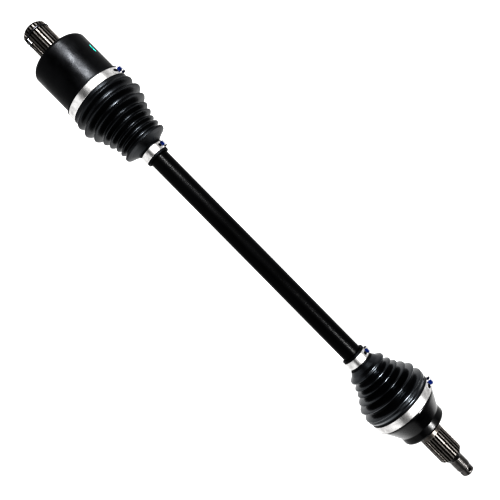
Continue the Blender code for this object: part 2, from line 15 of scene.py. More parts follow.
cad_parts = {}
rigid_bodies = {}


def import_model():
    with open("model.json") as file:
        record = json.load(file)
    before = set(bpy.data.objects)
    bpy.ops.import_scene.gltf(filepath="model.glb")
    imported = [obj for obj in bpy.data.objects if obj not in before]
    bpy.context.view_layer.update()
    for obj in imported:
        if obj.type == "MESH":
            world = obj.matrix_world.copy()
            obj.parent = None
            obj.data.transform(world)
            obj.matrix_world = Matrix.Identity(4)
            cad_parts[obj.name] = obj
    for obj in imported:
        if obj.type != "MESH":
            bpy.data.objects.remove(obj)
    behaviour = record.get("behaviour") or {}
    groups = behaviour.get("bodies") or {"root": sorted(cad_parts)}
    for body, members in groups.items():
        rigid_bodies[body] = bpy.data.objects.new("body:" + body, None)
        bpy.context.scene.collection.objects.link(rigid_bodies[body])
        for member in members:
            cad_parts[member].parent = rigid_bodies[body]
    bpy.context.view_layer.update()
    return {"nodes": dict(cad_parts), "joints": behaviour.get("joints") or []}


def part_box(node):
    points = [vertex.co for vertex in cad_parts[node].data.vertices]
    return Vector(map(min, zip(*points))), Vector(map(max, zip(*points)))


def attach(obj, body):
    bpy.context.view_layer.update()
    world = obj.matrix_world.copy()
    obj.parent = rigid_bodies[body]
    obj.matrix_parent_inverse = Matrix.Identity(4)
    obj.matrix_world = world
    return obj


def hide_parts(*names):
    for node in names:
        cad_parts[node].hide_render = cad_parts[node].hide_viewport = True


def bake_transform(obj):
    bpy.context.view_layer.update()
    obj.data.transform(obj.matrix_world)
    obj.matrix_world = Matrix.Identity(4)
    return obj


MM = 0.001
SHARP_DEG = 35.0

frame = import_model()


# -------------------- places, from the CAD boxes


def span(node):
    """Lowest x, highest x and outer radius of a turned CAD node, in millimetres."""
    low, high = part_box(node)
    return low.x / MM, high.x / MM, 0.5 * (high.y - low.y) / MM


AXIS_Z = 0.5 * (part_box("inner_housing")[0].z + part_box("inner_housing")[1].z)
JOINT_X = {joint["name"]: joint["pos_m"][0] / MM for joint in frame["joints"] if "pos_m" in joint}
INNER_CENTRE = JOINT_X["inner_cage_pitch"]
OUTER_CENTRE = JOINT_X["outer_cage_pitch"]
INNER_TIP, CUP_MOUTH, CUP_R = span("inner_housing")
BELL_MOUTH, OUTER_TIP, BELL_R = span("outer_housing")
BAR_LOW, BAR_HIGH, BAR_R = span("axle_shaft")

CUP_BACK = INNER_TIP + 44.2
CUP_FLOOR = CUP_BACK + 11.4
CUP_BORE_R = CUP_R - 9.3
SNAP_RING_X = 0.5 * sum(span("inner_stub_snap_ring")[:2])
WIRE_RING_X = 0.5 * sum(span("inner_wire_ring")[:2])

# -------------------- meshes from rings of points

# All splines here have 24 teeth. A tooth has a point at each of TOOTH_STEPS, in tooth pitches.
TEETH = 24
TOOTH_PITCH = 360.0 / TEETH
TOOTH_START = 3.0
TOOTH_STEPS = (-0.5, -0.42, -0.34, -0.27, -0.2, -0.1, 0.0, 0.1, 0.2, 0.27, 0.34, 0.42)
SPLINE_TURNS = np.radians(
    [TOOTH_START + TOOTH_PITCH * (tooth + step) for tooth in range(TEETH) for step in TOOTH_STEPS]
)
BALL_ANGLES = np.radians([30.0, 90.0, 150.0, 210.0, 270.0, 330.0])


def even_turns(count):
    return np.arange(count) * (math.tau / count)


def rounded(corners, steps=4):
    """A line of (x, radius) points through corners of (x, radius, fillet)."""
    points = []
    last = len(corners) - 1
    for index, (x, r, fillet) in enumerate(corners):
        if index in (0, last) or fillet <= 0.0:
            points.append((x, r))
            continue
        here = Vector((x, r))
        before = Vector(corners[index - 1][:2]) - here
        after = Vector(corners[index + 1][:2]) - here
        half = 0.5 * before.angle(after)
        if half > 0.5 * math.pi - 0.01:
            points.append((x, r))
            continue
        reach = min(fillet / math.tan(half), 0.48 * before.length, 0.48 * after.length)
        start = here + before.normalized() * reach
        end = here + after.normalized() * reach
        for step in range(steps + 1):
            t = step / steps
            spot = start.lerp(here, t).lerp(here.lerp(end, t), t)
            points.append((spot.x, spot.y))
    return points


def skin(name, stations, turns, wrap=False):
    """A closed mesh through rings about the axle's axis.

    Each station is (x, radius), where the radius is one number or one for each turn.
    A radius of zero is a single point. With wrap, the last ring joins the first.
    """
    verts = []
    rows = []
    count = len(turns)
    cos, sin = np.cos(turns), np.sin(turns)
    for x, radius in stations:
        first = len(verts)
        if np.isscalar(radius) and radius == 0.0:
            verts.append((x * MM, 0.0, AXIS_Z))
            rows.append([first] * count)
            continue
        r = np.broadcast_to(np.asarray(radius, float), (count,)) * MM
        verts += [(x * MM, y, z) for y, z in zip(r * cos, AXIS_Z + r * sin)]
        rows.append(list(range(first, first + count)))
    if wrap:
        rows.append(rows[0])
    faces = []
    for row, other in zip(rows, rows[1:]):
        for index in range(count):
            after = (index + 1) % count
            corners = [row[index], row[after], other[after], other[index]]
            faces.append(list(dict.fromkeys(corners)))
    return mesh_object(name, verts, faces)


def mesh_object(name, verts, faces):
    mesh = bpy.data.meshes.new(name)
    mesh.from_pydata(verts, [], faces)
    made = bpy.data.objects.new(name, mesh)
    bpy.context.scene.collection.objects.link(made)
    tidy(made)
    return made


def tidy(piece):
    """Merge doubled points, turn the faces outwards and shade smooth between sharp edges."""
    shape = bmesh.new()
    shape.from_mesh(piece.data)
    bmesh.ops.remove_doubles(shape, verts=shape.verts, dist=0.000002)
    bmesh.ops.dissolve_degenerate(shape, edges=shape.edges, dist=0.000001)
    bmesh.ops.recalc_face_normals(shape, faces=shape.faces)
    shape.to_mesh(piece.data)
    shape.free()
    piece.data.shade_smooth()
    piece.data.set_sharp_from_angle(angle=math.radians(SHARP_DEG))


def cut(piece, cutter):
    """Take the cutter's volume out of the piece, and remove the cutter."""
    step = piece.modifiers.new("cut", "BOOLEAN")
    step.operation = "DIFFERENCE"
    step.solver = "EXACT"
    step.object = cutter
    bpy.context.view_layer.update()
    depsgraph = bpy.context.evaluated_depsgraph_get()
    mesh = bpy.data.meshes.new_from_object(piece.evaluated_get(depsgraph))
    piece.modifiers.clear()
    piece.data = mesh
    mesh.name = piece.name
    bpy.data.objects.remove(cutter)
    tidy(piece)


def drill(x, angle_deg, low_r, high_r, radius, stretch=1.0):
    """A cutter that points outwards from the axis, between two radii.

    It is round, or drawn out round the axis by the factor stretch.
    """
    shape = bmesh.new()
    bmesh.ops.create_cone(
        shape,
        cap_ends=True,
        segments=32,
        radius1=radius * MM,
        radius2=radius * MM,
        depth=(high_r - low_r) * MM,
        matrix=Matrix.Translation((0.0, 0.0, 0.5 * (low_r + high_r) * MM)),
    )
    turn = Matrix.Rotation(math.radians(angle_deg - 90.0), 4, "X")
    place = Matrix.Translation((x * MM, 0.0, AXIS_Z)) @ turn
    place = place @ Matrix.Diagonal((1.0, stretch, 1.0, 1.0))
    bmesh.ops.transform(shape, matrix=place, verts=shape.verts)
    mesh = bpy.data.meshes.new("drill")
    shape.to_mesh(mesh)
    shape.free()
    made = bpy.data.objects.new("drill", mesh)
    bpy.context.scene.collection.objects.link(made)
    return made


def rounded_teeth(tip, root):
    """Radius of a spline with flat crests and rounded roots, at each of SPLINE_TURNS."""
    shape = {0.5: 0.0, 0.42: 0.0, 0.34: 0.12, 0.27: 0.62, 0.2: 1.0, 0.1: 1.0, 0.0: 1.0}
    one = [root + (tip - root) * shape[abs(step)] for step in TOOTH_STEPS]
    return np.array(one * TEETH)


def pointed_teeth(tip, root):
    """Radius of a spline with pointed serrations, at each of SPLINE_TURNS."""
    one = [tip - (tip - root) * 2.0 * abs(step) for step in TOOTH_STEPS]
    return np.array(one * TEETH)


def toothed(stations, tip, root, low, high, fade_low=0.0, fade_high=0.0):
    """Cut teeth into the stations between two places, fading out over the given lengths."""
    outline = rounded_teeth(tip, root)
    made = []
    for x, r in stations:
        if not low <= x <= high or (np.isscalar(r) and r == 0.0):
            made.append((x, r))
            continue
        depth = 1.0
        if fade_low and x < low + fade_low:
            depth = (x - low) / fade_low
        if fade_high and x > high - fade_high:
            depth = (high - x) / fade_high
        depth = math.sin(0.5 * math.pi * depth)
        made.append((x, np.minimum(r, tip - (tip - outline) * depth)))
    return made


# -------------------- materials


class Nodes:
    """A node tree, with short calls for the nodes that the paints and the sky use."""

    def __init__(self, owner):
        owner.use_nodes = True
        self.tree = owner.node_tree

    def add(self, kind, **values):
        made = self.tree.nodes.new("ShaderNode" + kind)
        for key, value in values.items():
            setattr(made, key, value)
        return made

    def link(self, source, target):
        self.tree.links.new(source, target)

    def math(self, operation, first, second=None):
        made = self.add("Math", operation=operation)
        for socket, value in zip(made.inputs, (first, second)):
            if isinstance(value, (int, float)):
                socket.default_value = value
            elif value is not None:
                self.link(value, socket)
        return made.outputs[0]

    def ramp(self, value, *stops):
        """A colour ramp. Each stop is (place, grey) or (place, (r, g, b))."""
        made = self.add("ValToRGB")
        ramp = made.color_ramp
        while len(ramp.elements) < len(stops):
            ramp.elements.new(0.5)
        for element, (position, colour) in zip(ramp.elements, stops):
            element.position = position
            rgb = (colour,) * 3 if isinstance(colour, (int, float)) else colour
            element.color = (*rgb, 1.0)
        self.link(value, made.inputs[0])
        return made.outputs[0]

    def span(self, value, low, high, to_low, to_high):
        """Map a value from one range to another, and keep it inside."""
        made = self.add("MapRange")
        made.inputs["From Min"].default_value = low
        made.inputs["From Max"].default_value = high
        made.inputs["To Min"].default_value = to_low
        made.inputs["To Max"].default_value = to_high
        self.link(value, made.inputs["Value"])
        return made.outputs[0]


class Paint(Nodes):
    """A material on one Principled shader."""

    def __init__(self, name, metallic, roughness, specular=0.5, tint=(1.0, 1.0, 1.0)):
        self.material = bpy.data.materials.new(name)
        super().__init__(self.material)
        self.shader = self.tree.nodes["Principled BSDF"]
        self.shader.inputs["Metallic"].default_value = metallic
        self.shader.inputs["Roughness"].default_value = roughness
        self.shader.inputs["Specular IOR Level"].default_value = specular
        self.shader.inputs["Specular Tint"].default_value = (*tint, 1.0)
        self.place = self.add("TexCoord").outputs["Object"]

    def stretch(self, scale):
        """Object coordinates, scaled by a different amount along each axis."""
        made = self.add("Mapping")
        made.inputs["Scale"].default_value = scale
        self.link(self.place, made.inputs["Vector"])
        return made.outputs["Vector"]

    def from_axis(self):
        """Coordinates x, y and z, measured from the axle's axis."""
        parts = self.add("SeparateXYZ")
        self.link(self.place, parts.inputs[0])
        x, y, z = parts.outputs
        return x, y, self.math("SUBTRACT", z, AXIS_Z)

    def round_axis(self, x_scale, turn_scale):
        """Coordinates (x, angle round the axle) for marks that run round or along a piece."""
        x, y, z = self.from_axis()
        made = self.add("CombineXYZ")
        self.link(self.math("MULTIPLY", x, x_scale), made.inputs["X"])
        turn = self.math("ARCTAN2", z, y)
        self.link(self.math("MULTIPLY", turn, turn_scale), made.inputs["Y"])
        return made.outputs[0]

    def radius(self):
        """Distance from the axle's axis."""
        _, y, z = self.from_axis()
        squares = self.math("ADD", self.math("MULTIPLY", z, z), self.math("MULTIPLY", y, y))
        return self.math("SQRT", squares)

    def noise(self, vector, scale, detail=3.0, roughness=0.55):
        made = self.add("TexNoise")
        made.inputs["Scale"].default_value = scale
        made.inputs["Detail"].default_value = detail
        made.inputs["Roughness"].default_value = roughness
        self.link(vector, made.inputs["Vector"])
        return made.outputs["Fac"]

    def mix(self, factor, first, colour):
        """Blend from a linked colour to a fixed one."""
        made = self.add("Mix", data_type="RGBA")
        self.link(factor, made.inputs[0])
        self.link(first, made.inputs[6])
        made.inputs[7].default_value = (*colour, 1.0)
        return made.outputs[2]

    def colour(self, source):
        self.link(source, self.shader.inputs["Base Color"])

    def rough(self, source):
        self.link(source, self.shader.inputs["Roughness"])

    def bump(self, *layers):
        """Stack bumps. Each layer is (height source, depth in millimetres)."""
        normal = None
        for height, depth in layers:
            made = self.add("Bump")
            made.inputs["Strength"].default_value = 1.0
            made.inputs["Distance"].default_value = depth * MM
            self.link(height, made.inputs["Height"])
            if normal is not None:
                self.link(normal, made.inputs["Normal"])
            normal = made.outputs["Normal"]
        self.link(normal, self.shader.inputs["Normal"])


DEEP_BLACK = (0.0006, 0.0006, 0.0007)
SOFT_BLACK = (0.0018, 0.0018, 0.002)


def bar_paint():
    """Gloss black paint, with faint streaks along the drawn bar."""
    p = Paint("bar_gloss_black", 0.0, 0.24, specular=0.07)
    clouds = p.noise(p.stretch((14.0, 60.0, 60.0)), 1.0)
    grain = p.noise(p.place, 900.0, 2.0)
    drawn = p.noise(p.round_axis(20.0, 26.0), 3.0, 4.0)
    p.colour(p.ramp(clouds, (0.3, DEEP_BLACK), (0.75, SOFT_BLACK)))
    p.rough(p.span(clouds, 0.3, 0.7, 0.18, 0.34))
    p.bump((grain, 0.02), (drawn, 0.05))
    return p.material


def cup_coat():
    """Satin black coating over turned steel, a little mottled."""
    # The specular tint paints a bluish colour into the coat's reflections.
    p = Paint("cup_satin_black", 0.0, 0.34, specular=0.108, tint=(0.92, 0.95, 1.0))
    clouds = p.noise(p.stretch((55.0, 75.0, 75.0)), 1.0, 4.0, 0.6)
    turned = p.noise(p.round_axis(1500.0, 1.5), 1.0, 3.0)
    grain = p.noise(p.place, 520.0, 3.0, 0.6)
    p.colour(p.ramp(clouds, (0.3, DEEP_BLACK), (0.72, (0.002, 0.002, 0.0022))))
    p.rough(p.span(clouds, 0.32, 0.68, 0.28, 0.44))
    p.bump((turned, 0.012), (grain, 0.09), (clouds, 0.12))
    return p.material


def bell_coat():
    """Gloss black coating with fine turning marks under it."""
    p = Paint("bell_gloss_black", 0.0, 0.22, specular=0.22)
    clouds = p.noise(p.place, 70.0, 4.0, 0.6)
    turned = p.noise(p.round_axis(1300.0, 1.0), 1.0, 3.0)
    grain = p.noise(p.place, 1200.0, 2.0)
    p.colour(p.ramp(clouds, (0.3, DEEP_BLACK), (0.75, SOFT_BLACK)))
    p.rough(p.span(clouds, 0.32, 0.7, 0.16, 0.3))
    p.bump((turned, 0.01), (grain, 0.02))
    return p.material


def rubber(name, rough, specular, flow_depth):
    """Black boot rubber, with moulding flow marks round the axle."""
    # The specular tint paints a bluish colour into the rubber's reflections.
    p = Paint(name, 0.0, rough, specular=specular, tint=(0.86, 0.93, 1.0))
    clouds = p.noise(p.place, 45.0, 4.0, 0.6)
    grain = p.noise(p.place, 1600.0, 2.0)
    flow = p.noise(p.round_axis(900.0, 3.0), 1.0, 3.0)
    p.colour(p.ramp(clouds, (0.3, (0.0008, 0.0008, 0.001)), (0.75, (0.0024, 0.0024, 0.0028))))
    p.rough(p.span(clouds, 0.3, 0.7, 0.78 * rough, 1.22 * rough))
    p.bump((flow, flow_depth), (grain, 0.035))
    return p.material


def stainless():
    """Bright rolled strip with stains and small dark flecks."""
    p = Paint("clamp_stainless", 1.0, 0.24)
    rolled = p.noise(p.round_axis(2600.0, 2.5), 1.0, 4.0, 0.6)
    clouds = p.noise(p.place, 130.0, 4.0, 0.65)
    flecks = p.noise(p.place, 900.0, 2.0)
    base = p.ramp(clouds, (0.28, (0.36, 0.354, 0.35)), (0.6, (0.61, 0.604, 0.6)))
    p.colour(p.mix(p.span(flecks, 0.66, 0.74, 0.0, 0.55), base, (0.16, 0.155, 0.15)))
    p.rough(p.span(clouds, 0.3, 0.7, 0.34, 0.2))
    p.bump((rolled, 0.02), (clouds, 0.1))
    return p.material


def ear_shade_paint():
    """Painted shade on the legs of the clamps' ears: dark blue, standing in for their shadow with
    a painted blue reflection in it.
    """
    p = Paint("clamp_ear_painted_shade", 0.2, 0.4, specular=0.15)
    clouds = p.noise(p.place, 420.0, 3.0)
    p.colour(p.ramp(clouds, (0.35, (0.0015, 0.005, 0.02)), (0.62, (0.006, 0.03, 0.17))))
    p.bump((clouds, 0.08))
    return p.material


def spline_steel(name, tip, root, light):
    """Spline steel coloured by height: light on the tips of the teeth, brown lower down and dark
    at the roots.
    """
    dark = (0.004, 0.0034, 0.003)
    brown = (0.025, 0.022, 0.02)
    p = Paint(name, 1.0, 0.35)
    clouds = p.noise(p.place, 260.0, 4.0, 0.65)
    along = p.noise(p.round_axis(30.0, 40.0), 1.0, 3.0)
    height = p.span(p.radius(), root * MM, tip * MM, 0.0, 1.0)
    height = p.math("ADD", height, p.span(clouds, 0.3, 0.7, -0.25, 0.25))
    p.colour(p.ramp(height, (0.3, dark), (0.78, brown), (0.98, light)))
    p.rough(p.span(along, 0.3, 0.7, 0.36, 0.58))
    p.bump((along, 0.03), (clouds, 0.05))
    return p.material


def turned_steel(name, colour, roughness, marks=0.02):
    """Bare steel with fine tool marks round it."""
    p = Paint(name, 1.0, roughness)
    turned = p.noise(p.round_axis(2400.0, 1.2), 1.0, 4.0, 0.7)
    clouds = p.noise(p.place, 160.0, 4.0, 0.6)
    dark = tuple(0.55 * c for c in colour)
    p.colour(p.ramp(clouds, (0.3, dark), (0.62, colour)))
    p.rough(p.span(clouds, 0.3, 0.7, roughness * 1.3, roughness * 0.75))
    p.bump((turned, marks), (clouds, 0.04))
    return p.material


def plain_steel(name, colour, roughness):
    """Smooth steel, with faint stains and a fine grain."""
    p = Paint(name, 1.0, roughness)
    clouds = p.noise(p.place, 220.0, 4.0, 0.6)
    grain = p.noise(p.place, 1800.0, 2.0)
    dark = tuple(0.7 * c for c in colour)
    p.colour(p.ramp(clouds, (0.32, dark), (0.66, colour)))
    p.rough(p.span(clouds, 0.3, 0.7, roughness * 1.25, roughness * 0.8))
    p.bump((grain, 0.012))
    return p.material


def teal_paint():
    """Matt marking paint, brushed on unevenly."""
    p = Paint("teal_mark", 0.0, 0.45, specular=0.3)
    clouds = p.noise(p.place, 500.0, 3.0)
    p.colour(p.ramp(clouds, (0.35, (0.0, 0.2, 0.17)), (0.65, (0.01, 0.55, 0.45))))
    p.bump((clouds, 0.1))
    return p.material


BAR_PAINT = bar_paint()
CUP_COAT = cup_coat()
BELL_COAT = bell_coat()
RUBBER = rubber("boot_gloss_rubber", 0.24, 0.56, 0.003)
RUBBER_DULL = rubber("boot_satin_rubber", 0.36, 0.28, 0.012)
RUBBER_CUFF = rubber("boot_cuff_rubber", 0.5, 0.1, 0.012)
STAINLESS = stainless()
# Painted shade, dark blue, for the steep faces of the clamps' ear legs.
EAR_SHADE_BLUE = ear_shade_paint()
GROUND = turned_steel("ground_steel_rings", (0.3, 0.3, 0.31), 0.3)
INSIDE = turned_steel("machined_bore", (0.34, 0.33, 0.32), 0.34)
BALL_STEEL = plain_steel("polished_ball", (0.72, 0.72, 0.73), 0.1)
SPRING = plain_steel("black_spring_wire", (0.05, 0.05, 0.055), 0.32)
# Bright steel for the snap ring's bent ends: a painted highlight on the black wire.
SNAP_END_HIGHLIGHT = plain_steel("wire_end_painted_highlight", (0.42, 0.43, 0.45), 0.3)
TEAL = teal_paint()


def give(piece, *materials):
    """Put these materials, in this order, in place of the ones that the piece has."""
    piece.data.materials.clear()
    for made in materials:
        piece.data.materials.append(made)


def give_by(piece, choose, materials):
    """One of several materials for each face, by choose(x, radius, normal), in millimetres."""
    give(piece, *materials)
    for face in piece.data.polygons:
        middle = face.center
        radius = math.hypot(middle.y, middle.z - AXIS_Z) / MM
        face.material_index = choose(middle.x / MM, radius, face.normal)


# -------------------- the bar

NECK_R = 10.8
TIP_CHAMFER = 1.2
RACE_SEAT_HALF = 11.0
RACE_SEAT_TIP_R = 12.0
RACE_SEAT_ROOT_R = 10.6


def ring_groove(middle, half, floor):
    """Corners of a square groove in the neck."""
    return [
        (middle - half, NECK_R, 0.0),
        (middle - half + 0.05, floor, 0.3),
        (middle + half - 0.05, floor, 0.3),
        (middle + half, NECK_R, 0.0),
    ]


def bar_end(tip, centre):
    """Corners from one tip of the bar, past its race's splined seat, to the full radius."""
    inwards = math.copysign(1.0, centre - tip)
    corners = [(tip, 0.0, 0.0), (tip, NECK_R - TIP_CHAMFER, 0.2)]
    corners.append((tip + inwards * TIP_CHAMFER, NECK_R, 0.3))
    # The rest is measured from the joint's centre, inwards.
    rest = ring_groove(-12.9, 1.2, 9.7)
    rest += [(-RACE_SEAT_HALF - 0.01, NECK_R, 0.0), (-RACE_SEAT_HALF, RACE_SEAT_TIP_R, 0.0)]
    rest += [(RACE_SEAT_HALF, RACE_SEAT_TIP_R, 0.0), (RACE_SEAT_HALF + 0.01, NECK_R, 0.0)]
    rest += ring_groove(12.5, 1.1, 9.3) + [(22.0, NECK_R, 3.0), (26.0, BAR_R, 3.0)]
    return corners + [(centre + inwards * x, r, fillet) for x, r, fillet in rest]


def make_bar():
    corners = bar_end(BAR_LOW, INNER_CENTRE) + bar_end(BAR_HIGH, OUTER_CENTRE)[::-1]
    serrations = pointed_teeth(RACE_SEAT_TIP_R, RACE_SEAT_ROOT_R)
    stations = []
    for x, r in rounded(corners):
        from_joint = min(abs(x - INNER_CENTRE), abs(x - OUTER_CENTRE))
        on_seat = from_joint < RACE_SEAT_HALF + 0.005
        stations.append((x, serrations if on_seat else r))
    piece = skin("bar", stations, SPLINE_TURNS)
    give_by(
        piece,
        lambda x, r, normal: int(abs(x - INNER_CENTRE) < 20.0 or abs(x - OUTER_CENTRE) < 20.0),
        (BAR_PAINT, GROUND),
    )
    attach(piece, "shaft")
    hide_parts("axle_shaft")


# -------------------- the cup of the inner joint

STUB_IN_TIP_R = 16.1
STUB_IN_ROOT_R = 14.5
SNAP_GROOVE_R = 14.2
SNAP_GROOVE_HALF = 1.5
WIRE_GROOVE_R = 31.0
WIRE_GROOVE_HALF = 1.45
CUP_BALLS_AT_R = 25.5
CUP_TRACK_R = 8.8
# A ball track lies within this angle of its ball, in radians.
TRACK_HALF_TURN = 0.6


def off_ball(angle):
    """Angle from a ball to each of SPLINE_TURNS, between -pi and pi."""
    return np.angle(np.exp(1j * (SPLINE_TURNS - angle)))


def straight_track(bore):
    """Radius of the cup's bore with its six ball tracks, at each of SPLINE_TURNS."""
    radii = np.full(len(SPLINE_TURNS), bore)
    for angle in BALL_ANGLES:
        off = off_ball(angle)
        inside = CUP_TRACK_R**2 - (CUP_BALLS_AT_R * np.sin(off)) ** 2
        reach = CUP_BALLS_AT_R * np.cos(off) + np.sqrt(np.maximum(inside, 0.0))
        within = (inside > 0.0) & (np.abs(off) < TRACK_HALF_TURN)
        radii = np.where(within, np.maximum(radii, reach), radii)
    return radii


def make_cup():
    tip, root = STUB_IN_TIP_R, STUB_IN_ROOT_R
    # The outline starts at the centre drilling in the stub's end face.
    outside = [
        (INNER_TIP + 5.0, 0.0, 0.0),
        (INNER_TIP + 2.2, 1.6, 0.2),
        (INNER_TIP, 4.2, 0.3),
        (INNER_TIP, root - 1.9, 0.4),
        (INNER_TIP + 3.3, tip, 0.4),
        (SNAP_RING_X - SNAP_GROOVE_HALF, tip, 0.0),
        (SNAP_RING_X - SNAP_GROOVE_HALF + 0.02, SNAP_GROOVE_R, 0.2),
        (SNAP_RING_X + SNAP_GROOVE_HALF - 0.02, SNAP_GROOVE_R, 0.2),
        (SNAP_RING_X + SNAP_GROOVE_HALF, tip, 0.0),
    ]
    # Close stations let the teeth run out smoothly before the cup.
    for step in range(9):
        outside.append((CUP_BACK - 5.2 + 0.55 * step, tip, 0.0))
    outside += [
        (CUP_BACK, tip + 0.1, 0.6),
        (CUP_BACK, CUP_R - 6.6, 0.6),
        (CUP_BACK + 0.25, CUP_R - 5.4, 0.8),
        (CUP_BACK + 1.3, CUP_R - 2.4, 1.6),
        (CUP_BACK + 2.9, CUP_R - 1.0, 0.8),
        (CUP_BACK + 3.7, CUP_R - 0.9, 0.2),
        (CUP_BACK + 4.6, CUP_R, 0.4),
        (CUP_MOUTH - 8.0, CUP_R, 0.0),
        (CUP_MOUTH, CUP_R, 0.8),
        (CUP_MOUTH, CUP_BORE_R + 6.6, 0.4),
    ]
    stations = toothed(rounded(outside, 5), tip, root, INNER_TIP, CUP_BACK - 0.6, 0.0, 4.6)
    bore = straight_track(CUP_BORE_R)
    mouth = np.maximum(bore, CUP_BORE_R + 1.6)
    stations.append((CUP_MOUTH, mouth + 0.6))
    stations.append((CUP_MOUTH - 1.6, np.maximum(bore, CUP_BORE_R)))
    wire_groove = np.maximum(bore, WIRE_GROOVE_R)
    high = WIRE_RING_X + WIRE_GROOVE_HALF
    low = WIRE_RING_X - WIRE_GROOVE_HALF
    stations += [(high, bore), (high, wire_groove), (low, wire_groove), (low, bore)]
    track_end = CUP_FLOOR + 6.0
    stations += [(track_end, bore), (track_end, CUP_BORE_R)]
    stations += [(CUP_FLOOR + 4.0, CUP_BORE_R), (CUP_FLOOR + 1.2, CUP_BORE_R - 1.4)]
    stations += [(CUP_FLOOR, CUP_BORE_R - 4.0), (CUP_FLOOR, 0.0)]
    piece = skin("cup_and_stub", stations, SPLINE_TURNS)
    steel = spline_steel("inner_stub_toothed_steel", tip, root, (0.068, 0.065, 0.062))

    def choose(x, r, normal):
        if x < CUP_BACK - 0.05:
            return 1
        inside = normal.x > 0.9 or (r < CUP_R - 2.0 and x > CUP_BACK + 3.0)
        return 2 if inside else 0

    give_by(piece, choose, (CUP_COAT, steel, INSIDE))
    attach(piece, "inner_cup")
    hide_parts("inner_housing")


# -------------------- the bell of the outer joint

SEAT_R = 15.2
STUB_OUT_ROOT_R = 13.7
COLLAR_R = 29.8
TAIL_R = 9.0
PILOT_R = 8.1
CAVITY_R = 28.2
CAVITY_STEPS = 22
BELL_BALLS_AT_R = 25.0
BELL_TRACK_R = 9.0
# The bell's tracks end at this angle behind the balls, seen from the joint's centre.
TRACK_END_DEG = 36.0
COTTER_HOLE_R = 2.1
COTTER_HOLE_ANGLES = (10.0, 100.0)


def curved_track(x, bore):
    """Radius of the bell's cavity with its six ball tracks at one place along X.

    A track is the path of a ball round the joint's centre. Its wall is found by halving.
    """
    along = x - OUTER_CENTRE
    radii = np.full(len(SPLINE_TURNS), float(bore))
    for angle in BALL_ANGLES:
        off = np.abs(off_ball(angle))

        def outside(r):
            ring = np.sqrt(along**2 + (r * np.cos(off)) ** 2) - BELL_BALLS_AT_R
            return ring**2 + (r * np.sin(off)) ** 2 - BELL_TRACK_R**2

        low = np.full(len(off), max(bore, 12.0))
        high = np.full(len(off), 45.0)
        within = (outside(low) < 0.0) & (off < TRACK_HALF_TURN)
        for _ in range(30):
            middle = 0.5 * (low + high)
            deep = outside(middle) < 0.0
            low = np.where(deep, middle, low)
            high = np.where(deep, high, middle)
        within &= low * math.tan(math.radians(TRACK_END_DEG)) > along
        radii = np.where(within, np.maximum(radii, low), radii)
    return radii


def make_bell():
    stub_end = OUTER_TIP - 29.4
    tail_end = OUTER_TIP - 8.8
    seat_end = OUTER_TIP - 66.7
    collar_end = OUTER_TIP - 75.6
    collar_start = OUTER_TIP - 87.0
    cone_start = OUTER_TIP - 105.0
    teeth_low = seat_end + 0.9
    corners = [
        (OUTER_TIP - 3.0, 0.0, 0.0),
        (OUTER_TIP - 1.4, 0.9, 0.1),
        (OUTER_TIP, 2.4, 0.2),
        (OUTER_TIP, 6.7, 0.4),
        (OUTER_TIP - 1.4, PILOT_R, 0.4),
        (tail_end, PILOT_R, 0.2),
        (tail_end - 0.9, TAIL_R, 0.2),
        (stub_end + 4.9, TAIL_R, 0.6),
        (stub_end + 4.3, 9.5, 0.6),
        (stub_end, 12.4, 0.4),
        (stub_end - 2.4, SEAT_R, 0.5),
    ]
    # Close stations let the teeth run out smoothly before the seat.
    for step in range(5):
        corners.append((teeth_low + 2.4 - 0.6 * step, SEAT_R, 0.0))
    corners += [
        (seat_end, SEAT_R, 0.0),
        (seat_end - 0.5, SEAT_R, 0.3),
        (collar_end + 1.3, SEAT_R, 0.8),
        (collar_end, SEAT_R + 1.0, 0.6),
        (collar_end, COLLAR_R - 2.8, 1.2),
        (collar_end - 0.9, COLLAR_R - 0.9, 1.2),
        (collar_end - 2.8, COLLAR_R, 1.2),
        (collar_start + 0.8, COLLAR_R, 1.0),
        (collar_start, COLLAR_R + 0.2, 1.2),
        (cone_start + 0.6, BELL_R - 1.0, 1.6),
        (cone_start - 1.8, BELL_R, 1.6),
        (BELL_MOUTH, BELL_R, 0.8),
    ]
    line = rounded(corners, 5)
    stations = toothed(line, SEAT_R, STUB_OUT_ROOT_R, teeth_low, stub_end, 2.4, 0.0)
    stations.append((BELL_MOUTH, CAVITY_R + 7.5))
    stations.append((BELL_MOUTH, curved_track(BELL_MOUTH, CAVITY_R + 1.6)))
    start = math.acos((BELL_MOUTH + 1.0 - OUTER_CENTRE) / CAVITY_R)
    for step in range(CAVITY_STEPS):
        angle = start * (1.0 - step / CAVITY_STEPS)
        x = OUTER_CENTRE + CAVITY_R * math.cos(angle)
        stations.append((x, curved_track(x, CAVITY_R * math.sin(angle))))
    stations.append((OUTER_CENTRE + CAVITY_R, 0.0))
    piece = skin("bell_and_stub", stations, SPLINE_TURNS)
    for angle in COTTER_HOLE_ANGLES:
        for side in (0.0, 180.0):
            cut(piece, drill(OUTER_TIP - 5.4, angle + side, -0.5, 12.0, COTTER_HOLE_R))
    bright = (0.092, 0.087, 0.082)
    steel = spline_steel("wheel_stub_toothed_steel", SEAT_R, STUB_OUT_ROOT_R, bright)

    def choose(x, r, normal):
        if x > stub_end + 4.4:
            return 3
        if x > seat_end + 0.3:
            return 1
        if x > collar_end + 0.02:
            return 4
        inside = normal.x < -0.9 or (r < BELL_R - 1.0 and x < cone_start - 4.0) or r < 28.0
        return 2 if inside and x < collar_start else 0

    tail = turned_steel("bright_tail_steel", (0.082, 0.079, 0.077), 0.26, 0.05)
    seat = turned_steel("bright_seat_steel", (0.08, 0.074, 0.068), 0.36)
    give_by(piece, choose, (BELL_COAT, steel, INSIDE, tail, seat))
    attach(piece, "outer_bell")
    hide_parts("outer_housing")


# -------------------- boots

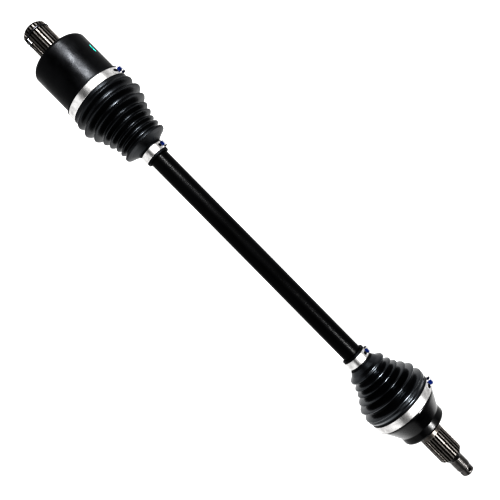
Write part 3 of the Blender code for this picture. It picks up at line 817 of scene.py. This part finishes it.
WALL = 2.0
BOOT_SEGMENTS = 128
HALF_WAVE_STEPS = 9
SEAT_GAP = 0.3
CUFF_WALL = 1.6
CUFF_LIP = 0.9
CLAMP_HALF = 5.0


def valley_floor(peak, next_peak):
    """Radius of the valley between two lobes, which is deeper between large lobes."""
    return min(peak[1], next_peak[1]) - 4.8 - 0.09 * (peak[1] - 25.0)


def wave(peaks, narrow):
    """A line through the lobes' crests and the valleys between them.

    A larger narrow gives thinner crests and wider valleys.
    """
    line = [peaks[0]]
    for peak, next_peak in zip(peaks, peaks[1:]):
        floor = valley_floor(peak, next_peak)
        for step in range(1, 2 * HALF_WAVE_STEPS + 1):
            t = step / HALF_WAVE_STEPS
            crest = peak if t <= 1.0 else next_peak
            x = peak[0] + (next_peak[0] - peak[0]) * 0.5 * t
            height = (0.5 + 0.5 * math.cos(math.pi * t)) ** narrow
            line.append((x, floor + (crest[1] - floor) * height))
    return line


def cut_line(line, low, high):
    """The part of a line of (x, r) points, sorted by x, between two places."""
    xs, rs = zip(*line)
    middle = [(x, r) for x, r in line if low + 0.02 < x < high - 0.02]
    ends = [(x, float(np.interp(x, xs, rs))) for x in (low, high)]
    return ends[:1] + middle + ends[1:]


def monotone(line):
    """Keep x rising along a line, so that it can be cut by x."""
    made = [line[0]]
    for x, r in line[1:]:
        made.append((max(x, made[-1][0] + 0.001), r))
    return made


def boot_wall(line, bore_low, bore_high, low_stop, high_stop):
    """Outer and inner line of a boot, from -X to +X, with its bore up to each stop."""
    outer = monotone(line)
    inner = []
    for x, r in outer:
        if x < low_stop:
            inner.append((x, bore_low))
        elif x > high_stop:
            inner.append((x, bore_high))
        else:
            inner.append((x, max(r - WALL, min(bore_low, bore_high))))
    return outer, inner


def boot_pieces(node, outer, inner, stretches, joint_end, rubber):
    """One closed piece for each stretch of the boot's wall.

    A stretch is (name, low, high, body, body towards the housing or None). joint_end says
    which end of the boot is on its joint's housing.
    """
    for name, low, high, body, next_body in stretches:
        profile = cut_line(outer, low, high) + cut_line(inner, low, high)[::-1]
        piece = skin(node + "_" + name, profile, even_turns(BOOT_SEGMENTS), wrap=True)
        give(piece, RUBBER_CUFF if name.startswith("cuff") else rubber)
        if next_body is None:
            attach(piece, body)
        else:
            places = [(low * MM, 0.0, AXIS_Z), (high * MM, 0.0, AXIS_Z)]
            start, end = places if joint_end == "high" else places[::-1]
            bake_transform(piece)
            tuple(start)
            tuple(end)
        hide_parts(node)


def cuff(seat_r, middle, rim_far, rim_near, side):
    """Corners of a cuff from its open end towards the bellows, with a lip beside the clamp."""
    half = CLAMP_HALF + 0.3
    flat = seat_r + SEAT_GAP + CUFF_WALL
    top = flat + CUFF_LIP
    return [
        (middle - side * (half + rim_far), flat - 0.7, 0.0),
        (middle - side * (half + rim_far - 0.05), top, 0.5),
        (middle - side * half, top, 0.3),
        (middle - side * (half - 0.05), flat, 0.1),
        (middle + side * (half - 0.05), flat, 0.1),
        (middle + side * half, top, 0.3),
        (middle + side * (half + rim_near), top, 0.4),
    ]


# Crests of the bellows as (x, radius).
INNER_LOBES = [
    (-247.8, 43.4),
    (-235.2, 44.4),
    (-223.5, 40.7),
    (-213.5, 35.6),
    (-205.2, 33.2),
    (-197.0, 30.2),
    (-189.3, 30.0),
    (-181.3, 30.2),
]

OUTER_LOBES = [
    (199.0, 25.6),
    (208.2, 28.1),
    (215.4, 31.3),
    (223.4, 36.8),
    (231.8, 42.2),
    (243.0, 44.3),
]


def clamp_x(node):
    """Middle of a clamp along X."""
    low, high, _ = span(node)
    return 0.5 * (low + high)


def make_inner_boot():
    large = cuff(CUP_R, clamp_x("inner_boot_large_clamp"), 2.0, 1.6, 1.0)
    small = cuff(BAR_R, clamp_x("inner_boot_small_clamp"), 2.6, 1.0, -1.0)
    rim = large + [(-251.6, 40.7, 0.8), (-249.6, 42.6, 0.8), (*INNER_LOBES[0], 0.0)]
    flare = [
        (*INNER_LOBES[-1], 0.0),
        (-179.2, 29.6, 1.0),
        (-177.2, 24.4, 2.5),
        (-173.4, 17.4, 2.5),
    ]
    outer = rounded(rim) + wave(INNER_LOBES, 1.5)[1:-1] + rounded(flare + small[::-1])
    bores = (CUP_R + SEAT_GAP, BAR_R + SEAT_GAP)
    outer, inner = boot_wall(outer, *bores, CUP_MOUTH + 1.0, -172.4)
    low, high = outer[0][0], outer[-1][0]
    stretches = [
        ("cuff_on_cup", low, -253.4, "inner_cup", None),
        ("fold_5", -253.4, -234.8, "inner_plunge_guide", "inner_cup"),
        ("fold_4", -234.8, -225.3, "inner_carrier_cup_side", "inner_plunge_guide"),
        ("fold_3", -225.3, -216.0, "inner_cage_set", "inner_carrier_cup_side"),
        ("fold_2", -216.0, -207.6, "inner_carrier_bar_side", "inner_cage_set"),
        ("fold_1", -207.6, -190.0, "shaft", "inner_carrier_bar_side"),
        ("flare", -190.0, -172.0, "shaft", None),
        ("cuff_on_bar", -172.0, high, "shaft", None),
    ]
    boot_pieces("inner_boot", outer, inner, stretches, "low", RUBBER_DULL)


def make_outer_boot():
    small = cuff(BAR_R, clamp_x("outer_boot_small_clamp"), 2.6, 1.0, 1.0)
    large = cuff(BELL_R, clamp_x("outer_boot_large_clamp"), 0.6, 1.4, -1.0)
    flare = small + [(189.4, 16.8, 1.5), (194.0, 20.6, 3.0), (196.6, 24.9, 1.5)]
    flare.append((*OUTER_LOBES[0], 0.0))
    x, r = OUTER_LOBES[-1]
    rim = [(x, r, 0.0), (x + 1.7, r - 1.1, 0.5), (x + 3.6, r - 0.2, 1.0), (249.6, 42.6, 0.8)]
    outer = rounded(flare) + wave(OUTER_LOBES, 0.8)[1:-1] + rounded(rim + large[::-1])
    bores = (BAR_R + SEAT_GAP, BELL_R + SEAT_GAP)
    outer, inner = boot_wall(outer, *bores, 188.6, BELL_MOUTH - 1.0)
    low, high = outer[0][0], outer[-1][0]
    stretches = [
        ("cuff_on_bar", low, 189.2, "shaft", None),
        ("fold_1", 189.2, 215.4, "shaft", "outer_carrier_bar_side"),
        ("fold_2", 215.4, 227.6, "outer_carrier_bar_side", "outer_cage_set"),
        ("fold_3", 227.6, 238.4, "outer_cage_set", "outer_carrier_bell_side"),
        ("fold_4", 238.4, 250.4, "outer_carrier_bell_side", "outer_bell"),
        ("cuff_on_bell", 250.4, high, "outer_bell", None),
    ]
    boot_pieces("outer_boot", outer, inner, stretches, "high", RUBBER)


# -------------------- clamps

EAR_ANGLE = 45.0
BAND = 0.9
BAND_STEPS = 144
EAR_SHEET = 0.7
TAIL_SHEET = 0.45
TAIL_STEPS = 12
SLOT_R = 2.2

# Height of the ear, distance from the ear to the slot, and the slot's length over its width.
LARGE_EAR = (4.2, 11.2, 1.9)
SMALL_EAR = (3.4, 7.3, 1.1)


def strip(name, path, x, half_width, thick, closed=False, taper=None):
    """A flat strip along a path of (angle round the axis, middle radius), in degrees and mm.

    The strip has rounded edges. Its half width may change along the path.
    """
    points = []
    for angle, radius in path:
        a = math.radians(angle)
        points.append(Vector((radius * math.cos(a), radius * math.sin(a))))
    count = len(points)
    verts = []
    soft = min(0.25, 0.45 * thick)
    for index, here in enumerate(points):
        before = points[index - 1] if closed or index else here
        after = points[(index + 1) % count] if closed or index + 1 < count else here
        along = (after - before).normalized()
        out = Vector((along.y, -along.x))
        half = half_width * (taper[index] if taper else 1.0)
        across = (-half, -half + soft, -0.66 * half, 0.66 * half, half - soft, half)
        edge = (0.5 * thick - soft, *[0.5 * thick] * 4, 0.5 * thick - soft)
        top = list(zip(across, edge))
        bottom = [(dx, -lift) for dx, lift in top]
        for dx, lift in bottom + top[::-1]:
            spot = here + out * lift
            verts.append(((x + dx) * MM, spot.x * MM, AXIS_Z + spot.y * MM))
    return mesh_object(name, verts, tube_faces(count, len(verts) // count, closed))


def tube_faces(count, sides, closed=False):
    """Faces of a tube made of count rings. Its ends are filled, unless it closes on itself."""
    faces = []
    for index in range(count if closed else count - 1):
        row, next_row = sides * index, sides * ((index + 1) % count)
        for side in range(sides):
            other = (side + 1) % sides
            faces.append((row + side, row + other, next_row + other, next_row + side))
    if not closed:
        faces.append(tuple(range(sides)))
        faces.append(tuple(sides * (count - 1) + side for side in range(sides)))
    return faces


def shade_the_legs(bridge, x, r_out):
    """Give the steep faces of the ear's legs the painted blue shade, apart from their edges."""
    for face in bridge.data.polygons:
        y, z = face.center.y, face.center.z - AXIS_Z
        radius = math.hypot(y, z)
        outwards = (face.normal.y * y + face.normal.z * z) / radius
        inside = abs(face.center.x / MM - x) < 0.3 * CLAMP_HALF
        if abs(outwards) < 0.75 and inside and radius / MM > r_out + 0.2:
            face.material_index = 1


def ear_outline(reach):
    """Half of the ear as (arc from its middle, height over the band, share of its width)."""
    half = 0.98 * reach
    return [
        (half + 1.2, -0.15, 1.0),
        (half + 0.3, -0.1, 1.0),
        (1.05 * half, 0.15, 0.97),
        (0.93 * half, 0.3 * reach, 0.9),
        (0.93 * half, 0.62 * reach, 0.86),
        (0.82 * half, 0.9 * reach - 0.2, 0.84),
        (0.55 * half, reach - 0.45, 0.82),
        (0.3 * half, reach - 0.55, 0.82),
        (0.12 * half, reach - 0.8, 0.82),
    ]


def make_clamp(node, seat_r, body, reach, slot_arc, stretch):
    """An ear clamp: its band, the pinched ear, and the slotted tail beyond the ear."""
    x = clamp_x(node)
    r_in = seat_r + 0.6 + CUFF_WALL
    r_out = r_in + BAND
    r_mid = 0.5 * (r_in + r_out)
    degree = 180.0 / (math.pi * r_out)
    ring = [(360.0 / BAND_STEPS * step, r_mid) for step in range(BAND_STEPS)]
    band = strip(node + "_band", ring, x, CLAMP_HALF, BAND, closed=True)

    outline = ear_outline(reach)
    spots = [(-arc, height, share) for arc, height, share in outline] + outline[::-1]
    ear = [(EAR_ANGLE + arc * degree, r_out + height) for arc, height, _ in spots]
    shares = [share for _, _, share in spots]
    bridge = strip(node + "_ear", ear, x, CLAMP_HALF - 0.4, EAR_SHEET, taper=shares)

    tail_start = EAR_ANGLE + (0.98 * reach + 0.6) * degree
    tail_end = EAR_ANGLE + (slot_arc + 7.0) * degree
    path, shares = [], []
    for step in range(TAIL_STEPS + 1):
        t = step / TAIL_STEPS
        path.append((tail_start + (tail_end - tail_start) * t, r_out + 0.12))
        shares.append(1.0 if t < 0.75 else 1.0 - 0.5 * ((t - 0.75) / 0.25) ** 2)
    tail = strip(node + "_tail", path, x, CLAMP_HALF - 0.5, TAIL_SHEET, taper=shares)

    slot_at = EAR_ANGLE + slot_arc * degree
    cut(band, drill(x, slot_at, r_in - 1.0, r_out + 1.0, SLOT_R, stretch))
    cut(tail, drill(x, slot_at, r_in - 1.0, r_out + 1.5, SLOT_R, stretch))
    for piece in (band, bridge, tail):
        # The second material is the painted blue shade on the ear's steep legs.
        give(piece, STAINLESS, EAR_SHADE_BLUE)
        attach(piece, body)
        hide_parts(node)
    shade_the_legs(bridge, x, r_out)


# -------------------- small pieces


def make_snap_ring():
    """Wire ring in the stub's groove. Its two ends are bent along the stub, beside the gap."""
    low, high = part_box("inner_stub_snap_ring")
    wire_r = 0.5 * (high.x - low.x) / MM * 0.96
    radius = 0.5 * (high.y - low.y) / MM - wire_r
    gap_middle, gap, leg = 182.0, 28.0, 6.4
    leg_steps, turn_steps = 5, 90
    # One end as (distance along the stub, angle from the gap's middle, lift).
    end = [(leg * (1.0 - step / leg_steps) + 2.0, 0.5 * gap, 0.35) for step in range(leg_steps)]
    end += [(0.9, 0.5 * gap + 0.6, 0.1), (0.25, 0.5 * gap + 2.4, 0.0)]
    path = [(dx, gap_middle + angle, lift) for dx, angle, lift in end]
    for step in range(turn_steps + 1):
        t = step / turn_steps
        path.append((0.0, gap_middle + 0.5 * gap + 5.0 + (360.0 - gap - 10.0) * t, 0.0))
    path += [(dx, gap_middle + 360.0 - angle, lift) for dx, angle, lift in end[::-1]]
    points = []
    for dx, angle, lift in path:
        a = math.radians(angle)
        r = radius + lift
        points.append(Vector((SNAP_RING_X + dx, r * math.cos(a), r * math.sin(a))))
    piece = wire_along("stub_snap_ring", points, wire_r, 12)
    give(piece, SPRING, SNAP_END_HIGHLIGHT)
    # The bent ends past the groove get the bright steel as a painted highlight.
    for face in piece.data.polygons:
        face.material_index = int(face.center.x / MM > SNAP_RING_X + 1.3)
    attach(piece, "inner_cup")
    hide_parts("inner_stub_snap_ring")


def wire_along(name, points, wire_r, sides):
    """A round wire along points (x, y, z above the axis) in millimetres."""
    verts = []
    count = len(points)
    for index, here in enumerate(points):
        before = points[max(index - 1, 0)]
        after = points[min(index + 1, count - 1)]
        along = (after - before).normalized()
        out = Vector((0.0, here.y, here.z)).normalized()
        out = (out - along * out.dot(along)).normalized()
        side_way = along.cross(out)
        for side in range(sides):
            turn = math.tau * side / sides
            spot = here + wire_r * (math.cos(turn) * out + math.sin(turn) * side_way)
            verts.append((spot.x * MM, spot.y * MM, AXIS_Z + spot.z * MM))
    return mesh_object(name, verts, tube_faces(count, sides))


def make_paint_mark():
    """A thin brushed dash of teal paint on the cup, with a ragged outline."""
    x_mid, length, angle_mid, width = -299.2, 11.2, math.radians(54.0), 1.8
    thick, sway = 0.08, 0.5
    columns, rows = 17, 7
    verts = []
    for i in range(columns):
        t = i / (columns - 1)
        inner = 0 < i < columns - 1
        edge = math.sin(math.pi * t) ** 0.35 if inner else 0.25
        edge *= 1.0 + 0.22 * math.sin(9.0 * t + 1.0) + 0.12 * math.sin(23.0 * t)
        top, bottom = [], []
        for j in range(rows):
            v = j / (rows - 1) - 0.5
            angle = angle_mid + (v * width * edge + sway * math.sin(5.0 * t)) / CUP_R
            crown = thick if inner and 0 < j < rows - 1 else 0.0
            for row, lift in ((top, crown + 0.02), (bottom, -0.15)):
                r = (CUP_R + lift) * MM
                x = (x_mid + length * (t - 0.5)) * MM
                row.append((x, r * math.cos(angle), AXIS_Z + r * math.sin(angle)))
        verts += top + bottom[::-1]
    piece = mesh_object("teal_dash", verts, tube_faces(columns, 2 * rows))
    give(piece, TEAL)
    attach(piece, "inner_cup")


def paint_carried_nodes():
    """Materials for the CAD nodes that stay: what the joints hold inside."""
    for name, node in frame["nodes"].items():
        if "ball" in name:
            give(node, BALL_STEEL)
        elif "circlip" in name or "wire_ring" in name or "stop_ring" in name:
            give(node, SPRING)
        elif "race" in name or "cage" in name:
            give(node, GROUND)


# -------------------- camera, floor and light

# The camera looks down on the axle and is rolled, so that the axle crosses the picture.
# Lengths in this section are in metres.
ELEVATION = math.radians(60.0)
ROLL = math.radians(45.4)
DISTANCE = 0.72
LENS_MM = 43.2
LAMP_HEIGHT = 1.1
PLAIN_SKY = 0.95

# Brightness of the sky by the angle round the axle, from +Y towards +Z, in degrees.
SKY_STOPS = [
    (-180.0, 1.0),
    (0.0, 0.85),
    (34.0, 0.75),
    (43.0, 0.42),
    (52.0, 0.42),
    (62.0, 0.95),
    (127.0, 0.95),
    (135.0, 0.2),
    (157.0, 0.12),
    (164.0, 0.75),
    (180.0, 1.0),
]
# The same for the glow that is added beyond the wheel end.
GLOW_STOPS = [(-180.0, 1.0), (-6.0, 1.0), (12.0, 0.0), (142.0, 0.0), (158.0, 1.0), (180.0, 1.0)]


def make_camera():
    """The photograph's view, with the camera square to the axle."""
    along = Vector((1.0, 0.0, 0.0))
    across = Vector((0.0, math.sin(ELEVATION), math.cos(ELEVATION)))
    back = Vector((0.0, -math.cos(ELEVATION), math.sin(ELEVATION)))
    right = math.cos(ROLL) * along + math.sin(ROLL) * across
    up = -math.sin(ROLL) * along + math.cos(ROLL) * across
    data = bpy.data.cameras.new("camera")
    data.lens = LENS_MM
    data.clip_end = 20.0
    camera = bpy.data.objects.new("camera", data)
    bpy.context.scene.collection.objects.link(camera)
    place = Vector((-0.0012, 0.0, AXIS_Z)) + DISTANCE * back
    camera.matrix_world = Matrix(
        (
            (right.x, up.x, back.x, place.x),
            (right.y, up.y, back.y, place.y),
            (right.z, up.z, back.z, place.z),
            (0.0, 0.0, 0.0, 1.0),
        )
    )
    bpy.context.scene.camera = camera


def make_floor():
    """A white floor that glows and isn't seen in reflections."""
    mesh = bpy.data.meshes.new("floor")
    size = 6.0
    mesh.from_pydata(
        [(-size, -size, 0.0), (size, -size, 0.0), (size, size, 0.0), (-size, size, 0.0)],
        [],
        [(0, 1, 2, 3)],
    )
    floor = bpy.data.objects.new("floor", mesh)
    bpy.context.scene.collection.objects.link(floor)
    made = bpy.data.materials.new("floor_white")
    made.use_nodes = True
    shader = made.node_tree.nodes["Principled BSDF"]
    shader.inputs["Base Color"].default_value = (0.3, 0.3, 0.3, 1.0)
    shader.inputs["Roughness"].default_value = 0.9
    shader.inputs["Emission Color"].default_value = (1.0, 1.0, 1.0, 1.0)
    shader.inputs["Emission Strength"].default_value = 0.85
    floor.data.materials.append(made)
    floor.visible_glossy = False


def make_light():
    """A soft sky round the axle, dark past both ends but for a glow beyond the wheel end.

    The camera itself sees a plain pale sky.
    """
    world = bpy.data.worlds.new("studio")
    bpy.context.scene.world = world
    sky = Nodes(world)
    parts = sky.add("SeparateXYZ")
    sky.link(sky.add("TexCoord").outputs["Generated"], parts.inputs[0])
    turn = sky.math("ARCTAN2", parts.outputs["Z"], parts.outputs["Y"])
    share = sky.span(turn, -math.pi, math.pi, 0.0, 1.0)

    def round_axis(stops):
        return sky.ramp(share, *[((angle + 180.0) / 360.0, value) for angle, value in stops])

    ends = sky.span(sky.math("ABSOLUTE", parts.outputs["X"]), 0.76, 0.95, 1.0, 0.04)
    wheel_end = sky.span(parts.outputs["X"], 0.42, 0.74, 0.0, 1.2)
    strength = sky.math("MULTIPLY", round_axis(SKY_STOPS), ends)
    glow = sky.math("MULTIPLY", round_axis(GLOW_STOPS), wheel_end)
    seen = sky.add("Mix")
    sky.link(sky.add("LightPath").outputs["Is Camera Ray"], seen.inputs[0])
    sky.link(sky.math("ADD", strength, glow), seen.inputs[2])
    seen.inputs[3].default_value = PLAIN_SKY
    sky.link(seen.outputs[0], sky.tree.nodes["Background"].inputs["Color"])


def strip_light(low, high, middle, width, radiance, receivers):
    """An overhead lamp from low to high along the axle, which only lights the receivers."""
    data = bpy.data.lights.new("strip", "AREA")
    data.shape = "RECTANGLE"
    data.size = high - low
    data.size_y = width
    data.energy = radiance * math.pi * data.size * data.size_y
    lamp = bpy.data.objects.new("strip", data)
    lamp.location = (0.5 * (low + high), middle, LAMP_HEIGHT)
    lamp.visible_camera = False
    lamp.light_linking.receiver_collection = receivers
    bpy.context.scene.collection.objects.link(lamp)


def make_strips():
    """Strong strips for the dark pieces, and a weak broad one for the bright clamps."""
    dark = bpy.data.collections.new("lit_dark_pieces")
    bright = bpy.data.collections.new("lit_clamps")
    for piece in bpy.context.scene.objects:
        if piece.type == "MESH" and piece.name != "floor":
            (bright if "_clamp_" in piece.name else dark).objects.link(piece)
    strip_light(-0.82, -0.46, -0.05, 0.27, 138.0, dark)
    strip_light(0.46, 0.76, -0.05, 0.27, 88.0, dark)
    strip_light(-1.0, 1.0, 0.0, 1.0, 2.0, bright)


make_camera()
make_floor()
make_light()

make_bar()
make_cup()
make_bell()
make_inner_boot()
make_outer_boot()
make_clamp("inner_boot_large_clamp", CUP_R, "inner_cup", *LARGE_EAR)
make_clamp("inner_boot_small_clamp", BAR_R, "shaft", *SMALL_EAR)
make_clamp("outer_boot_small_clamp", BAR_R, "shaft", *SMALL_EAR)
make_clamp("outer_boot_large_clamp", BELL_R, "outer_bell", *LARGE_EAR)
make_snap_ring()
make_paint_mark()
paint_carried_nodes()
make_strips()

bpy.context.scene.view_settings.view_transform = "Standard"
bpy.context.scene.view_settings.look = "Very High Contrast"
